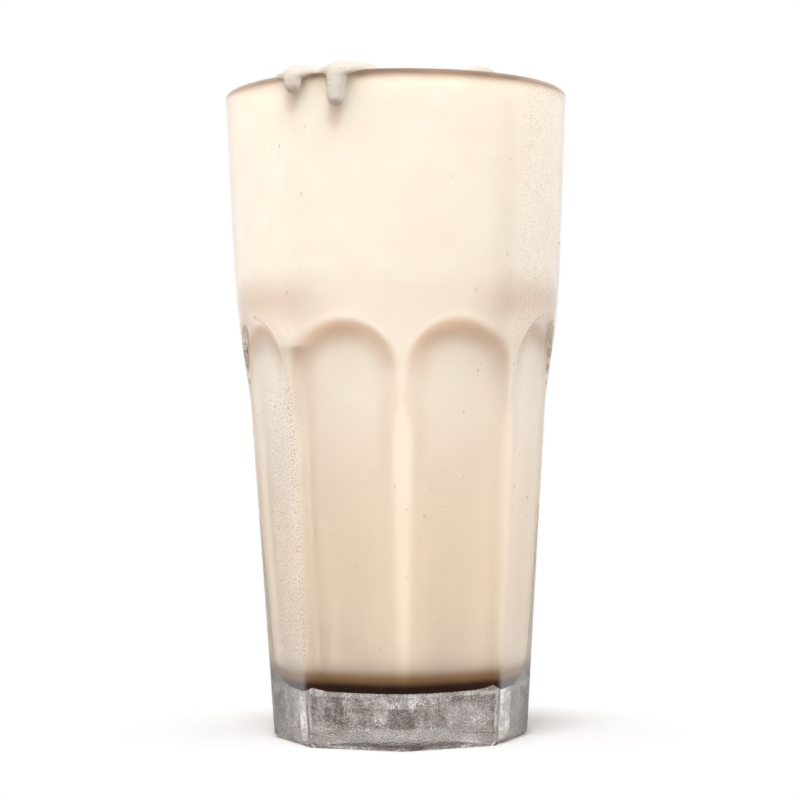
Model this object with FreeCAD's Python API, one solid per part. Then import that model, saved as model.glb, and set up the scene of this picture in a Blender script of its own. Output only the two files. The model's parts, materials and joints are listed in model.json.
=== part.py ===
"""Vanilla milkshake with its glass: an arched-panel cooler glass, brim-full.

Two solids share one frame: the pressed glass and the milkshake that fills it,
crowns above the rim and runs over it in two drips.  Millimetres, +Z up, the
origin in the middle of the foot on the surface the glass stands on.  Angles
round the axis run from -Y (the front) towards +X.
"""
import FreeCAD, Part
import math
import os
from collections import namedtuple

V = FreeCAD.Vector
UPRIGHT = 0.9999            # an axis this near to Z counts as upright
LEVEL = 0.01                # an edge that rises less than this counts as level

# ---- glass: overall ---------------------------------------------------------
HEIGHT = 160.0              # foot to rim
RIM_RADIUS = 42.6           # outside of the wall just under the rim
LIP_WALL = 2.5              # wall at the rim, rounded over in a half circle
PANELS = 8                  # flat arched panels, with a rib between each two

# ---- glass: panelled body ---------------------------------------------------
FOOT_TAPER = 13.3           # a flat at the foot stands this far in from the rim
SPRING_Z = 86.0             # height at which the shoulder springs from the ribs
PANEL_WALL = 2.7            # wall between a flat and the inside, at the springing
FOOT_RIB_ROUND = 3.2        # rounding of a rib at the foot
SPRING_RIB_ROUND = 7.0      # rounding of a rib at the springing
CORE_RISE = 16.0            # the panelled core ends this far over the springing
HEEL = 0.9                  # bevel between the flats and the foot

# ---- glass: shoulder and upper band -----------------------------------------
SHOULDER_RISE = 32.0        # springing to the bottom of the plain round band
BAND_TAPER = 1.84           # the band's bottom stands this far in from the rim
SHOULDER_ROOT = 9.0         # the shoulder's skin starts this far under the springing
SKIN_PROUD = 0.1            # the skin stands this far off the ribs' crests at the springing
LEAD_SLOPE = 0.14           # outward slope of the shoulder where it leaves a rib
LEAD_REACH = 9.0            # how far that slope holds
CREST_REACH = 14.0          # how far the band's own slope reaches down

# ---- glass: arches ----------------------------------------------------------
# An arch's head is flattened: two tight corners and a flatter crown between them.
ARCH_LIFT = 6.5             # the heads start this far over the springing of the ribs
ARCH_HEAD_SHARE = 0.74      # rise of a head as a share of half its width
ARCH_CORNER_SHARE = 0.52    # radius of its corners as a share of half its width
ARCH_LAND = 1.7             # flat left between an arch and the corner of its panel
ARCH_DRAFT = 38.0           # lean of the arch wall from square to the flat
ARCH_COVE = 4.5             # cove between the flat and the arch wall
ARCH_FLARE = 5.0            # the arch's legs lean apart towards the foot
ARCH_EDGE_ROUND = 1.3       # rounding of the arch's outer edge
ARCH_REACH = 9.0            # reach of the arch cutter out of the flat

# ---- glass: inside and underside --------------------------------------------
FLOOR_THICKNESS = 13.0      # glass under the drink
FOOT_WALL = 5.3             # flat at the foot to the inside wall carried down to the floor
WELL_CORNER = 10.0          # round between the inside wall and the floor
PUSH_UP = 2.2               # hollow under the foot
PUSH_UP_FLAT = 0.75         # share of its radius over which the hollow stays near flat
FOOT_RING = 5.8             # flat at the foot to the inner edge of the ring it stands on

# ---- milkshake: crown -------------------------------------------------------
CROWN = 0.9                 # crown of the drink above the rim's top
CROWN_EDGE = 26.0           # degrees round the lip at which the drink meets it
CROWN_BROW = (2.0, 11.0)    # steep edge of the crown, then its flat start, from the lip
SWELL_ANGLE = 29.5          # small swell of cream against the lip, to the right
SWELL_INSET = 3.7           # rim to the swell's middle
SWELL_SINK = 0.25           # the swell's middle lies this far under the rim's top
SWELL_HALF = (4.2, 2.2, 1.9)   # half sizes along the rim, across it and upwards

# ---- milkshake: run over the rim --------------------------------------------
# Each run is a rounded ridge that lies on the lip and the wall.  `drop` is the
# way travelled from the top of the lip outwards and down (inwards if negative).
Run = namedtuple("Run", "angle drop end_angle end_drop half end_half thick end_thick")
RUNS = (
    Run(-35.9, -1.0, -36.1, 4.4, 3.2, 2.4, 2.1, 1.7),      # left drip
    Run(-19.8, -1.0, -20.6, 8.6, 3.0, 2.1, 2.0, 1.8),      # right drip
    Run(-41.6, 0.6, -33.2, -0.6, 1.7, 2.8, 0.9, 2.0),      # head of the left drip
    Run(-33.0, -0.8, -22.5, -0.8, 2.5, 2.5, 0.8, 0.8),     # saddle between the two
    Run(-33.4, 2.5, -29.6, 0.2, 1.3, 1.5, 1.1, 0.8),       # web from the left drip to the saddle
    Run(-22.2, 2.0, -25.0, 0.0, 1.3, 1.5, 1.1, 0.8),       # web from the saddle to the right drip
    Run(-17.9, 2.6, -13.2, 0.1, 1.5, 1.8, 1.3, 1.0),       # web right of the right drip
    Run(-22.0, -0.2, -10.3, -2.0, 2.6, 2.4, 1.8, 1.9),     # tail along the lip
)
RUN_SPAN = (-47.0, -3.0)    # angles between which the run lies
RUN_DROPS = (-5.5, 13.5)    # drops between which it lies
RUN_STEP = 0.55             # spacing of the surface's sections
RUN_BED = -0.6              # the run's skin sinks this far in where it ends
RUN_CORE = 0.05             # the run's underside lies this far round the lip's middle
RUN_FLOOR = -3.6            # a run counts for no less than this outside its footprint
RUN_BLEND = 0.4             # softness of the blend between runs
RUN_FULLNESS = 2.6          # how full a run's section is; 2 is a plain parabola
RUN_MEAN_LIFT = 0.9         # lift over the lip at which drops are measured
RUN_INNER_DIP = 12.0        # degrees by which the run's bed falls inwards

# ---- sizes that follow from those above -------------------------------------
FOOT_APOTHEM = RIM_RADIUS - FOOT_TAPER
WELL_RADIUS = FOOT_APOTHEM - FOOT_WALL
WELL_RISE = HEIGHT - LIP_WALL / 2 - FLOOR_THICKNESS
WELL_SLOPE = (RIM_RADIUS - LIP_WALL - WELL_RADIUS) / WELL_RISE
WELL_SPRING_RADIUS = WELL_RADIUS + WELL_SLOPE * (SPRING_Z - FLOOR_THICKNESS)
SPRING_APOTHEM = WELL_SPRING_RADIUS + PANEL_WALL
CORE_TOP_Z = SPRING_Z + CORE_RISE
SHOULDER_Z = SPRING_Z + SHOULDER_RISE
SHOULDER_RADIUS = RIM_RADIUS - BAND_TAPER
SHOULDER_ROOT_Z = SPRING_Z - SHOULDER_ROOT
ARCH_HALF_WIDTH = SPRING_APOTHEM * math.tan(math.pi / PANELS) - ARCH_LAND
ARCH_HEAD = ARCH_HALF_WIDTH * ARCH_HEAD_SHARE
ARCH_CORNER = ARCH_HALF_WIDTH * ARCH_CORNER_SHARE
ARCH_CORNER_X = ARCH_HALF_WIDTH - ARCH_CORNER
ARCH_CROWN = (ARCH_CORNER_X ** 2 + ARCH_HEAD ** 2 - ARCH_CORNER ** 2) / (ARCH_HEAD - ARCH_CORNER) / 2
PUSH_UP_RADIUS = FOOT_APOTHEM - FOOT_RING


def apothem(z):
    """Distance from the axis to a flat at height z."""
    return FOOT_APOTHEM + (SPRING_APOTHEM - FOOT_APOTHEM) * z / SPRING_Z


def rib_round(z):
    """Rounding radius of a rib at height z."""
    return FOOT_RIB_ROUND + (SPRING_RIB_ROUND - FOOT_RIB_ROUND) * z / SPRING_Z


def corner_distance(flat, rounding):
    """Axis to the middle of the rounding between two flats."""
    return (flat - rounding) / math.cos(math.pi / PANELS)


def rib_radius(z):
    """Distance from the axis to the crest of a rib at height z."""
    return corner_distance(apothem(z), rib_round(z)) + rib_round(z)


def polar(radius, degrees, z):
    """A point from its radius, its angle from -Y towards +X, and its height."""
    a = math.radians(degrees)
    return V(radius * math.sin(a), -radius * math.cos(a), z)


def spun(edges):
    """Solid turned about the axis from a closed outline in the XZ plane."""
    face = Part.Face(Part.Wire(edges))
    return face.revolve(V(0, 0, 0), V(0, 0, 1), 360)


def path(*points):
    """Straight edges from point to point."""
    return [Part.makeLine(a, b) for a, b in zip(points, points[1:])]


# ---- glass ------------------------------------------------------------------
def panel_section(flat, rounding, z):
    """Wire of the panelled body: a rounded rib and a flat, once per panel."""
    centre = corner_distance(flat, rounding)
    half = 180.0 / PANELS
    ribs = []
    for i in range(PANELS):
        at = 2 * half * i
        middle = polar(centre, at, z)
        ribs.append([middle + polar(rounding, at + turn, 0) for turn in (-half, 0, half)])
    edges = []
    for rib, following in zip(ribs, ribs[1:] + ribs[:1]):
        edges.append(Part.Arc(*rib).toShape())
        edges.append(Part.makeLine(rib[2], following[0]))
    return Part.Wire(edges)


def panelled_core():
    """Tapering body with eight flats and rounded ribs, bevelled at the foot."""
    def section(z, inset):
        return panel_section(apothem(z) - inset, rib_round(z), z)

    bevel = Part.makeLoft([section(0, HEEL), section(HEEL, 0)], True, True)
    body = Part.makeLoft([section(HEEL, 0), section(CORE_TOP_Z, 0)], True, True)
    return body, bevel


def lip_point(degrees, lift=0.0):
    """Point on the lip's half circle, from its outer end over the top."""
    a = math.radians(degrees)
    radius = LIP_WALL / 2 + lift
    return V(RIM_RADIUS - LIP_WALL / 2 + radius * math.cos(a), 0,
             HEIGHT - LIP_WALL / 2 + radius * math.sin(a))


def band_slope():
    """Outward slope of the plain band, from the shoulder to the lip."""
    return (RIM_RADIUS - SHOULDER_RADIUS) / (lip_point(0).z - SHOULDER_Z)


def shoulder_and_band():
    """Round upper part: lip, band and shoulder, its skin running into the ribs."""
    spring = V(rib_radius(SPRING_Z) + SKIN_PROUD, 0, SPRING_Z)
    lead = V(LEAD_SLOPE, 0, 1)
    root = spring - lead * SHOULDER_ROOT
    crest = V(SHOULDER_RADIUS, 0, SHOULDER_Z)
    curve = Part.BezierCurve()
    curve.setPoles([
        spring,
        spring + lead * LEAD_REACH,
        crest - V(band_slope(), 0, 1) * CREST_REACH,
        crest,
    ])
    bottom = V(0, 0, SHOULDER_ROOT_Z)
    top = V(0, 0, lip_point(180).z)
    return spun(
        path(bottom, root, spring)
        + [curve.toShape()]
        + path(crest, lip_point(0))
        + [Part.Arc(lip_point(0), lip_point(90), lip_point(180)).toShape()]
        + path(lip_point(180), top, bottom)
    )


def arch_section(radius, inner):
    """Half section of an arch cutter: flat floor, cove, then the drafted wall.

    X runs across the panel and Y out of it; the wall's foot stands `radius`
    from the axis the section turns about, and the section starts `inner`
    behind that axis.
    """
    turn = math.radians(90 - ARCH_DRAFT)
    floor_end = V(radius - ARCH_COVE * math.tan(turn / 2), 0, 0)

    def cove(angle):
        return floor_end + V(math.sin(angle), 1 - math.cos(angle), 0) * ARCH_COVE

    wall_end = V(radius + ARCH_REACH / math.tan(turn), ARCH_REACH, 0)
    start = V(-inner, 0, 0)
    return Part.Face(Part.Wire(
        path(start, floor_end)
        + [Part.Arc(floor_end, cove(turn / 2), cove(turn)).toShape()]
        + path(cove(turn), wall_end, V(-inner, ARCH_REACH, 0), start)
    ))


def arch_head():
    """Head of an arch cutter: crown and two corners, each turned on its centre.

    The centres of the crown and of a corner lie on one line with the point
    where the two meet, so that they run into each other without a crease.
    """
    crown_centre = V(0, 0, ARCH_HEAD - ARCH_CROWN)
    corner_centre = V(ARCH_CORNER_X, 0, 0)
    line = corner_centre - crown_centre
    meet = math.degrees(math.atan2(line.z, line.x))
    out = V(0, 1, 0)
    crown = arch_section(ARCH_CROWN, 0)
    crown.rotate(V(0, 0, 0), out, -meet)
    crown = crown.revolve(V(0, 0, 0), out, 2 * meet - 180)
    crown.translate(crown_centre)
    corner = arch_section(ARCH_CORNER, 0).revolve(V(0, 0, 0), out, -meet)
    corner.translate(corner_centre)
    return [crown, corner, corner.mirror(V(0, 0, 0), V(1, 0, 0))]


def arch_leg():
    """Right leg of an arch cutter, leaning outwards towards the foot."""
    run = ARCH_LIFT + SHOULDER_ROOT + ARCH_REACH
    overlap = ARCH_CORNER_X + run * math.tan(math.radians(ARCH_FLARE))
    leg = arch_section(ARCH_CORNER, overlap).extrude(V(0, 0, -run))
    leg.rotate(V(0, 0, 0), V(0, 1, 0), -ARCH_FLARE)
    leg.translate(V(ARCH_CORNER_X, 0, 0))
    return leg


def arch_cutter():
    """Cutter for one arched panel, standing on the flat that faces -Y."""
    crown, *corners = arch_head()
    leg = arch_leg()
    legs = [leg, leg.mirror(V(0, 0, 0), V(1, 0, 0))]
    cutter = crown.fuse(corners + legs).removeSplitter()
    cutter.rotate(V(0, 0, 0), V(0, 0, 1), 180)
    lean = math.atan2(SPRING_APOTHEM - FOOT_APOTHEM, SPRING_Z)
    cutter.rotate(V(0, 0, 0), V(1, 0, 0), math.degrees(lean))
    head_z = SPRING_Z + ARCH_LIFT
    cutter.translate(V(0, -apothem(head_z), head_z))
    return cutter


def arch_edges(band):
    """Edges where the arches' walls leave the round skin of the shoulder."""
    def on_skin(face):
        surface = face.Surface
        if surface.TypeId == "Part::GeomSurfaceOfRevolution":
            return True
        return surface.TypeId == "Part::GeomCone" and abs(surface.Axis.z) > UPRIGHT

    edges = []
    for edge in band.Edges:
        sides = [on_skin(face) for face in band.Faces
                 if any(edge.isSame(other) for other in face.Edges)]
        level = edge.BoundBox.ZLength < LEVEL
        if sorted(sides) == [False, True] and not level:
            edges.append(edge)
    return edges


def arched_band():
    """Shoulder and band with the arches cut and their edges rounded."""
    cutter = arch_cutter()
    cutters = []
    for i in range(PANELS):
        one = cutter.copy()
        one.rotate(V(0, 0, 0), V(0, 0, 1), 360.0 / PANELS * (i + 0.5))
        cutters.append(one)
    band = shoulder_and_band().cut(cutters)
    return band.makeFillet(ARCH_EDGE_ROUND, arch_edges(band))


def well_outline():
    """Inside of the glass from the middle of the floor up to the lip."""
    lip = lip_point(180)
    wall_foot = V(WELL_RADIUS, 0, FLOOR_THICKNESS)
    up = (lip - wall_foot).normalize()
    turn = math.atan2(up.z, up.x)
    floor_end = wall_foot - V(WELL_CORNER * math.tan(turn / 2), 0, 0)

    def corner(angle):
        return floor_end + V(math.sin(angle), 0, 1 - math.cos(angle)) * WELL_CORNER

    return (
        path(V(0, 0, FLOOR_THICKNESS), floor_end)
        + [Part.Arc(floor_end, corner(turn / 2), corner(turn)).toShape()]
        + path(corner(turn), lip)
    )


def push_up():
    """Shallow dished hollow under the foot."""
    edge = V(PUSH_UP_RADIUS, 0, 0)
    dish = Part.BezierCurve()
    dish.setPoles([V(0, 0, PUSH_UP), V(PUSH_UP_RADIUS * PUSH_UP_FLAT, 0, PUSH_UP), edge])
    return spun(
        [dish.toShape()]
        + path(edge, edge - V(0, 0, HEEL), V(0, 0, -HEEL), V(0, 0, PUSH_UP))
    )


def make_glass():
    """The whole glass: core, arched band, then the inside and the push-up."""
    body, bevel = panelled_core()
    outside = arched_band().fuse([body, bevel]).removeSplitter()
    lip = lip_point(180)
    above = HEIGHT + HEEL
    well = spun(
        well_outline()
        + path(lip, V(lip.x, 0, above), V(0, 0, above), V(0, 0, FLOOR_THICKNESS))
    )
    return outside.cut([well, push_up()]).removeSplitter().Solids[0]


# ---- milkshake --------------------------------------------------------------
def fill():
    """The drink inside the glass, up to its crown above the rim."""
    meet = lip_point(180 - CROWN_EDGE)
    top = HEIGHT + CROWN
    brow, flat = CROWN_BROW
    crown = Part.BezierCurve()
    crown.setPoles([meet, V(meet.x - brow, 0, top), V(meet.x - flat, 0, top), V(0, 0, top)])
    half_way = lip_point(180 - CROWN_EDGE / 2)
    return spun(
        well_outline()
        + [Part.Arc(lip_point(180), half_way, meet).toShape(), crown.toShape()]
        + path(V(0, 0, top), V(0, 0, FLOOR_THICKNESS))
    )


def swell():
    """Small swell of cream that stands against the inside of the lip."""
    along, across, up = SWELL_HALF
    ball = Part.makeSphere(1.0)
    scale = FreeCAD.Matrix()
    scale.scale(along, across, up)
    shape = ball.transformGeometry(scale)
    shape.rotate(V(0, 0, 0), V(0, 0, 1), SWELL_ANGLE)
    shape.translate(polar(RIM_RADIUS - SWELL_INSET, SWELL_ANGLE, HEIGHT - SWELL_SINK))
    return shape


def run_bed(drop, lift):
    """Point in the XZ plane `lift` off the lip or the wall, `drop` along it."""
    bend = LIP_WALL / 2 + RUN_MEAN_LIFT
    wall_angle = -math.degrees(math.atan(band_slope()))
    inner_angle = 90 + RUN_INNER_DIP
    arc_start = -bend * math.radians(RUN_INNER_DIP)
    angle = 90 - math.degrees(drop / bend)
    if drop < arc_start:
        base = lip_point(inner_angle, lift)
        a = math.radians(RUN_INNER_DIP)
        return base + V(-math.cos(a), 0, -math.sin(a)) * (arc_start - drop)
    if angle >= wall_angle:
        return lip_point(angle, lift)
    a = math.radians(wall_angle)
    left = drop - bend * math.radians(90 - wall_angle)
    return lip_point(wall_angle, lift) + V(math.sin(a), 0, -math.cos(a)) * left


def ridge(run, angle, drop):
    """Height of one run over the bed; below zero outside its footprint."""
    per_degree = math.radians(1) * RIM_RADIUS
    across = (run.end_angle - run.angle) * per_degree
    down = run.end_drop - run.drop
    x = (angle - run.angle) * per_degree
    y = drop - run.drop
    share = (x * across + y * down) / (across ** 2 + down ** 2)
    share = min(1.0, max(0.0, share))
    half = run.half + (run.end_half - run.half) * share
    thick = run.thick + (run.end_thick - run.thick) * share
    off = math.hypot(x - across * share, y - down * share) / half
    return thick * (1 - off ** RUN_FULLNESS)


def run_lift(angle, drop):
    """Height of all runs together over the bed, blended where they meet."""
    heights = [RUN_BED] + [max(ridge(run, angle, drop), RUN_FLOOR) for run in RUNS]
    peak = max(heights)
    total = sum(math.exp((h - peak) / RUN_BLEND) for h in heights)
    return peak + RUN_BLEND * math.log(total)


def run_surface(lift_of):
    """Smooth face over the run's span, `lift_of(angle, drop)` off the bed."""
    first, last = RUN_SPAN
    top, bottom = RUN_DROPS
    columns = int((last - first) * math.radians(1) * RIM_RADIUS / RUN_STEP)
    rows = int((bottom - top) / RUN_STEP)
    grid = []
    for i in range(columns + 1):
        angle = first + (last - first) * i / columns
        line = []
        for j in range(rows + 1):
            drop = top + (bottom - top) * j / rows
            p = run_bed(drop, lift_of(angle, drop))
            line.append(polar(p.x, angle, p.z))
        grid.append(line)
    surface = Part.BSplineSurface()
    surface.interpolate(grid)
    return surface


def run_over(glass):
    """Drink lying on the lip and the wall: the saddle and the two drips."""
    skin = run_surface(run_lift)
    root = run_surface(lambda angle, drop: RUN_CORE - LIP_WALL / 2)
    faces = [skin.toShape(), root.toShape()]
    for along_v in (True, False):
        for end in (0, 1):
            rims = []
            for surface in (skin, root):
                low_u, high_u, low_v, high_v = surface.bounds()
                if along_v:
                    rims.append(surface.uIso((low_u, high_u)[end]).toShape())
                else:
                    rims.append(surface.vIso((low_v, high_v)[end]).toShape())
            faces.append(Part.makeRuledSurface(*rims))
    shell = Part.makeShell(faces)
    shell.sewShape()
    solid = Part.Solid(shell)
    if solid.Volume < 0:
        solid.reverse()
    return solid.cut(glass)


def make_milkshake(glass):
    """Fill, swell and run-over as one solid that touches the glass all over."""
    run = run_over(glass)
    return fill().fuse([swell().cut(glass), run]).removeSplitter().Solids[0]


def main():
    """Build both solids and write them as STEP files."""
    os.makedirs("parts", exist_ok=True)
    glass = make_glass()
    glass.exportStep("parts/glass.step")
    make_milkshake(glass).exportStep("parts/milkshake.step")


main()
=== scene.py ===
"""A vanilla milkshake, brim-full in its arched-panel cooler glass, dressed for the studio.

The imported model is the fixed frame.  Lengths in the dataclasses are millimetres;
meshes are written in metres.  Angles round the glass run from the front (-Y)
towards +X, as in the part's source.
"""
import sys
import json
import logging
import math
import random
from dataclasses import dataclass
from enum import Enum
from typing import Optional

import bmesh
import bpy
from mathutils import Matrix, Vector
from mathutils.bvhtree import BVHTree

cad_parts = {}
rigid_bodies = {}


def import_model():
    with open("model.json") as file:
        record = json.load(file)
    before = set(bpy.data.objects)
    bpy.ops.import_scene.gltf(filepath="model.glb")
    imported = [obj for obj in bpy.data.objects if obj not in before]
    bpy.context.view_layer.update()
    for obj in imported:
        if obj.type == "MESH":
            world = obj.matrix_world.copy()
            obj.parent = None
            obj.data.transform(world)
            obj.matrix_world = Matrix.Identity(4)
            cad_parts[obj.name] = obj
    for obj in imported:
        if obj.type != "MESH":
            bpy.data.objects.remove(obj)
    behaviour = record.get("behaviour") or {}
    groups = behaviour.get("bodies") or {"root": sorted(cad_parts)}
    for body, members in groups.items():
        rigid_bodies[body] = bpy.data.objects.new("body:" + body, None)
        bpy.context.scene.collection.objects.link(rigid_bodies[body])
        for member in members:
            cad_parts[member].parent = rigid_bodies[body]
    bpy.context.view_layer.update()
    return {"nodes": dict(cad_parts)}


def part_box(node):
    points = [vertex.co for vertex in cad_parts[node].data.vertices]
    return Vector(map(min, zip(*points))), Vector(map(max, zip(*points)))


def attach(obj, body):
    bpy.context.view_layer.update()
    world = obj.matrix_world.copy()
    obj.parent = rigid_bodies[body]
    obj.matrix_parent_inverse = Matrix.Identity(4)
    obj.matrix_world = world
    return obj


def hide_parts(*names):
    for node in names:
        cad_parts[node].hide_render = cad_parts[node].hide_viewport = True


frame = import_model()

Tree = bpy.types.NodeTree
Socket = bpy.types.NodeSocket
Pair = tuple[float, float]
Triple = tuple[float, float, float]

LOG = logging.getLogger("milkshake")
MM = 0.001
SEED = 1603
# Painted shade: the glass's vertex attribute named here holds how much painted brown shade lies
# there.
PAINTED_SHADE = "painted_shade"        # vertex attribute: how brown the light comes out there
HALF = 0.5             # between the 0 and the 1 of a yes-or-no value
WELD = 2e-6            # m; nearer vertices are one
CAD_WELD = 1e-6        # m; the same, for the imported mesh


class Node(Enum):
    """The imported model's nodes."""

    GLASS = "glass"
    MILKSHAKE = "milkshake"


# ---- small helpers ----
def to_linear(code: str) -> tuple[float, float, float, float]:
    """Linear colour of an sRGB hex value.

    Args:
        code: six hex digits after a hash sign.

    Returns:
        Red, green, blue and an alpha of 1, linear.
    """
    values = [int(code[i:i + 2], 16) / 255 for i in (1, 3, 5)]
    linear = [v / 12.92 if v <= 0.04045 else ((v + 0.055) / 1.055) ** 2.4 for v in values]
    return (*linear, 1.0)


def add_node(tree: Tree, kind: str, settings: Optional[dict] = None,
             links: Optional[dict] = None) -> bpy.types.Node:
    """Add one node with its settings and its links.

    Args:
        tree: the node tree that gets it.
        kind: the node's type name.
        settings: property or socket names and their values.
        links: input names or numbers, and the output sockets that feed them.

    Returns:
        The new node.
    """
    node = tree.nodes.new(kind)
    for name, value in (settings or {}).items():
        if isinstance(name, str) and hasattr(node, name) and name not in node.inputs:
            setattr(node, name, value)
        else:
            node.inputs[name].default_value = value
    for name, socket in (links or {}).items():
        tree.links.new(socket, node.inputs[name])
    return node


def fade(tree: Tree, value: Socket, start: float, end: float, low: float = 0.0,
         high: float = 1.0) -> Socket:
    """Smooth change from `low` where the value is `start` to `high` where it is `end`."""
    node = add_node(tree, "ShaderNodeMapRange", {
        "interpolation_type": "SMOOTHSTEP",
        "From Min": min(start, end), "From Max": max(start, end),
        "To Min": low if start < end else high, "To Max": high if start < end else low,
    }, {"Value": value})
    return node.outputs["Result"]


def calc(tree: Tree, operation: str, first: Socket, second: "Socket | float" = 0.0) -> Socket:
    """Result of one sum on a socket and a number or a second socket."""
    node = add_node(tree, "ShaderNodeMath", {"operation": operation}, {0: first})
    if isinstance(second, float):
        node.inputs[1].default_value = second
    else:
        tree.links.new(second, node.inputs[1])
    return node.outputs["Value"]


def blend(tree: Tree, share: Socket, first: "Socket | str | Triple",
          second: "Socket | str | Triple") -> Socket:
    """Mix of two colours, each a hex value, a strength per channel or a socket."""
    node = add_node(tree, "ShaderNodeMix", {"data_type": "RGBA"}, {0: share})
    for slot, colour in ((6, first), (7, second)):
        if isinstance(colour, str):
            node.inputs[slot].default_value = to_linear(colour)
        elif isinstance(colour, tuple):
            node.inputs[slot].default_value = (*colour, 1.0)
        else:
            tree.links.new(colour, node.inputs[slot])
    return node.outputs[2]


def new_material(name: str) -> tuple[bpy.types.Material, Tree]:
    """Empty node material and its tree."""
    material = bpy.data.materials.new(name)
    material.use_nodes = True
    material.node_tree.nodes.clear()
    return material, material.node_tree


def new_object(name: str, bm: bmesh.types.BMesh) -> bpy.types.Object:
    """Turn a bmesh into a smooth-shaded object at the origin.

    Args:
        name: the object's name.
        bm: its shape, in metres; it is freed.

    Returns:
        The linked object.
    """
    mesh = bpy.data.meshes.new(name)
    bm.to_mesh(mesh)
    bm.free()
    mesh.shade_smooth()
    piece = bpy.data.objects.new(name, mesh)
    bpy.context.scene.collection.objects.link(piece)
    return piece


def polar(radius: float, degrees: float, z: float) -> Vector:
    """Point in metres from a radius in mm, an angle from the front, and a height in mm."""
    a = math.radians(degrees)
    return Vector((radius * math.sin(a), -radius * math.cos(a), z)) * MM


def bearing(place: Vector) -> float:
    """Angle of a point from the front, in degrees."""
    return math.degrees(math.atan2(place.x, -place.y))


def between(value: float, low: float, high: float) -> float:
    """Smooth step from 0 at `low` to 1 at `high`."""
    t = min(1.0, max(0.0, (value - low) / (high - low)))
    return t * t * (3 - 2 * t)


# ---- finishes ----
@dataclass(frozen=True)
class DewPatch:
    """Patch of the outside between angles and heights, used both for dew and for gaps in the foot's
    painted shade.
    """

    middle: float
    half: float
    low: float
    high: float
    soft_degrees: float = 8.0
    soft_mm: float = 12.0
    weight: float = 1.0

    def holds(self, degrees: float, z: float) -> bool:
        """Whether a point at an angle and a height (mm) lies in the patch or its fade."""
        return (abs(degrees - self.middle) < self.half + self.soft_degrees
                and self.low - self.soft_mm < z < self.high + self.soft_mm)

    def share(self, tree: Tree, angle: Socket, height: Socket) -> Socket:
        """Add the patch's weight at each point.

        Args:
            tree: the node tree that gets the nodes.
            angle: angle from the front, radians.
            height: height, m.

        Returns:
            The weight, which fades to 0 past the edges.
        """
        off = calc(tree, "ABSOLUTE", calc(tree, "SUBTRACT", angle, math.radians(self.middle)))
        beside = fade(tree, off, math.radians(self.half + self.soft_degrees),
                      math.radians(self.half))
        above = fade(tree, height, (self.low - self.soft_mm) * MM, self.low * MM)
        below = fade(tree, height, (self.high + self.soft_mm) * MM, self.high * MM, 0.0,
                     self.weight)
        return calc(tree, "MULTIPLY", calc(tree, "MULTIPLY", beside, above), below)


def thickest(tree: Tree, patches: tuple[DewPatch, ...], angle: Socket, height: Socket) -> Socket:
    """Largest weight of several patches at each point."""
    total = patches[0].share(tree, angle, height)
    for patch in patches[1:]:
        total = calc(tree, "MAXIMUM", total, patch.share(tree, angle, height))
    return total


@dataclass(frozen=True)
class PressedGlass:
    """Soda-lime glass, pressed and fire-polished.

    Fire polish leaves it clear and glossy with a faint waviness from the mould.
    Its colour is painted brown as painted shade: in the coves, under the
    shoulder, at the lip, under the drips and at the thick edges seen side-on.
    """

    name: str = "pressed_soda_lime_glass"
    body: str = "#FFFFFF"
    # Painted shade: the brown, and how much of it goes on the edges seen side-on.
    painted_shade_brown: str = "#B08462"
    edge_painted_shade: float = 0.4
    edge_from: float = 0.68
    edge_to: float = 0.92
    edge_low: float = 96.0
    edge_high: float = 106.0
    absorbed: str = "#D8CDC6"
    absorption_per_metre: float = 4.0
    ior: float = 1.52
    wave_mm: float = 14.0
    wave_depth_mm: float = 0.02

    def base(self, tree: Tree, place: Socket) -> tuple[Socket, Socket]:
        """Colour and waved normal of the clear glass.

        Args:
            tree: the node tree that gets the nodes.
            place: object coordinates.

        Returns:
            The colour and the normal.
        """
        wave = add_node(tree, "ShaderNodeTexNoise", {
            "Scale": 1 / (self.wave_mm * MM), "Detail": 1.0,
        }, {"Vector": place})
        waved = add_node(tree, "ShaderNodeBump", {
            "Strength": 1.0, "Distance": self.wave_depth_mm * MM,
        }, {"Height": wave.outputs["Fac"]})
        # Painted shade: the colour goes brown by the vertex attribute, and at edges seen side-on
        # between two heights.
        painted_shade = add_node(tree, "ShaderNodeAttribute", {"attribute_name": PAINTED_SHADE})
        parts = add_node(tree, "ShaderNodeSeparateXYZ", None, {"Vector": place})
        slant = add_node(tree, "ShaderNodeLayerWeight", {"Blend": 0.5})
        edge = calc(tree, "MULTIPLY",
                    fade(tree, slant.outputs["Facing"], self.edge_from, self.edge_to),
                    fade(tree, parts.outputs["Z"], self.edge_low * MM, self.edge_high * MM,
                         0.0, self.edge_painted_shade))
        brown = calc(tree, "MAXIMUM", painted_shade.outputs["Fac"], edge)
        colour = blend(tree, brown, self.body, self.painted_shade_brown)
        return colour, waved.outputs["Normal"]

    def finish(self, tree: Tree, shader: bpy.types.Node) -> None:
        """Add the tint inside the glass and join both to the output."""
        volume = add_node(tree, "ShaderNodeVolumeAbsorption", {
            "Color": to_linear(self.absorbed), "Density": self.absorption_per_metre,
        })
        add_node(tree, "ShaderNodeOutputMaterial", None, {
            "Surface": shader.outputs["BSDF"], "Volume": volume.outputs["Volume"],
        })

    def make(self) -> bpy.types.Material:
        """Build the material.

        Returns:
            The finished material.
        """
        material, tree = new_material(self.name)
        coords = add_node(tree, "ShaderNodeTexCoord")
        colour, normal = self.base(tree, coords.outputs["Object"])
        shader = add_node(tree, "ShaderNodeBsdfPrincipled", {
            "IOR": self.ior, "Transmission Weight": 1.0, "Roughness": 0.0,
        }, {"Base Color": colour, "Normal": normal})
        self.finish(tree, shader)
        return material


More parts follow.
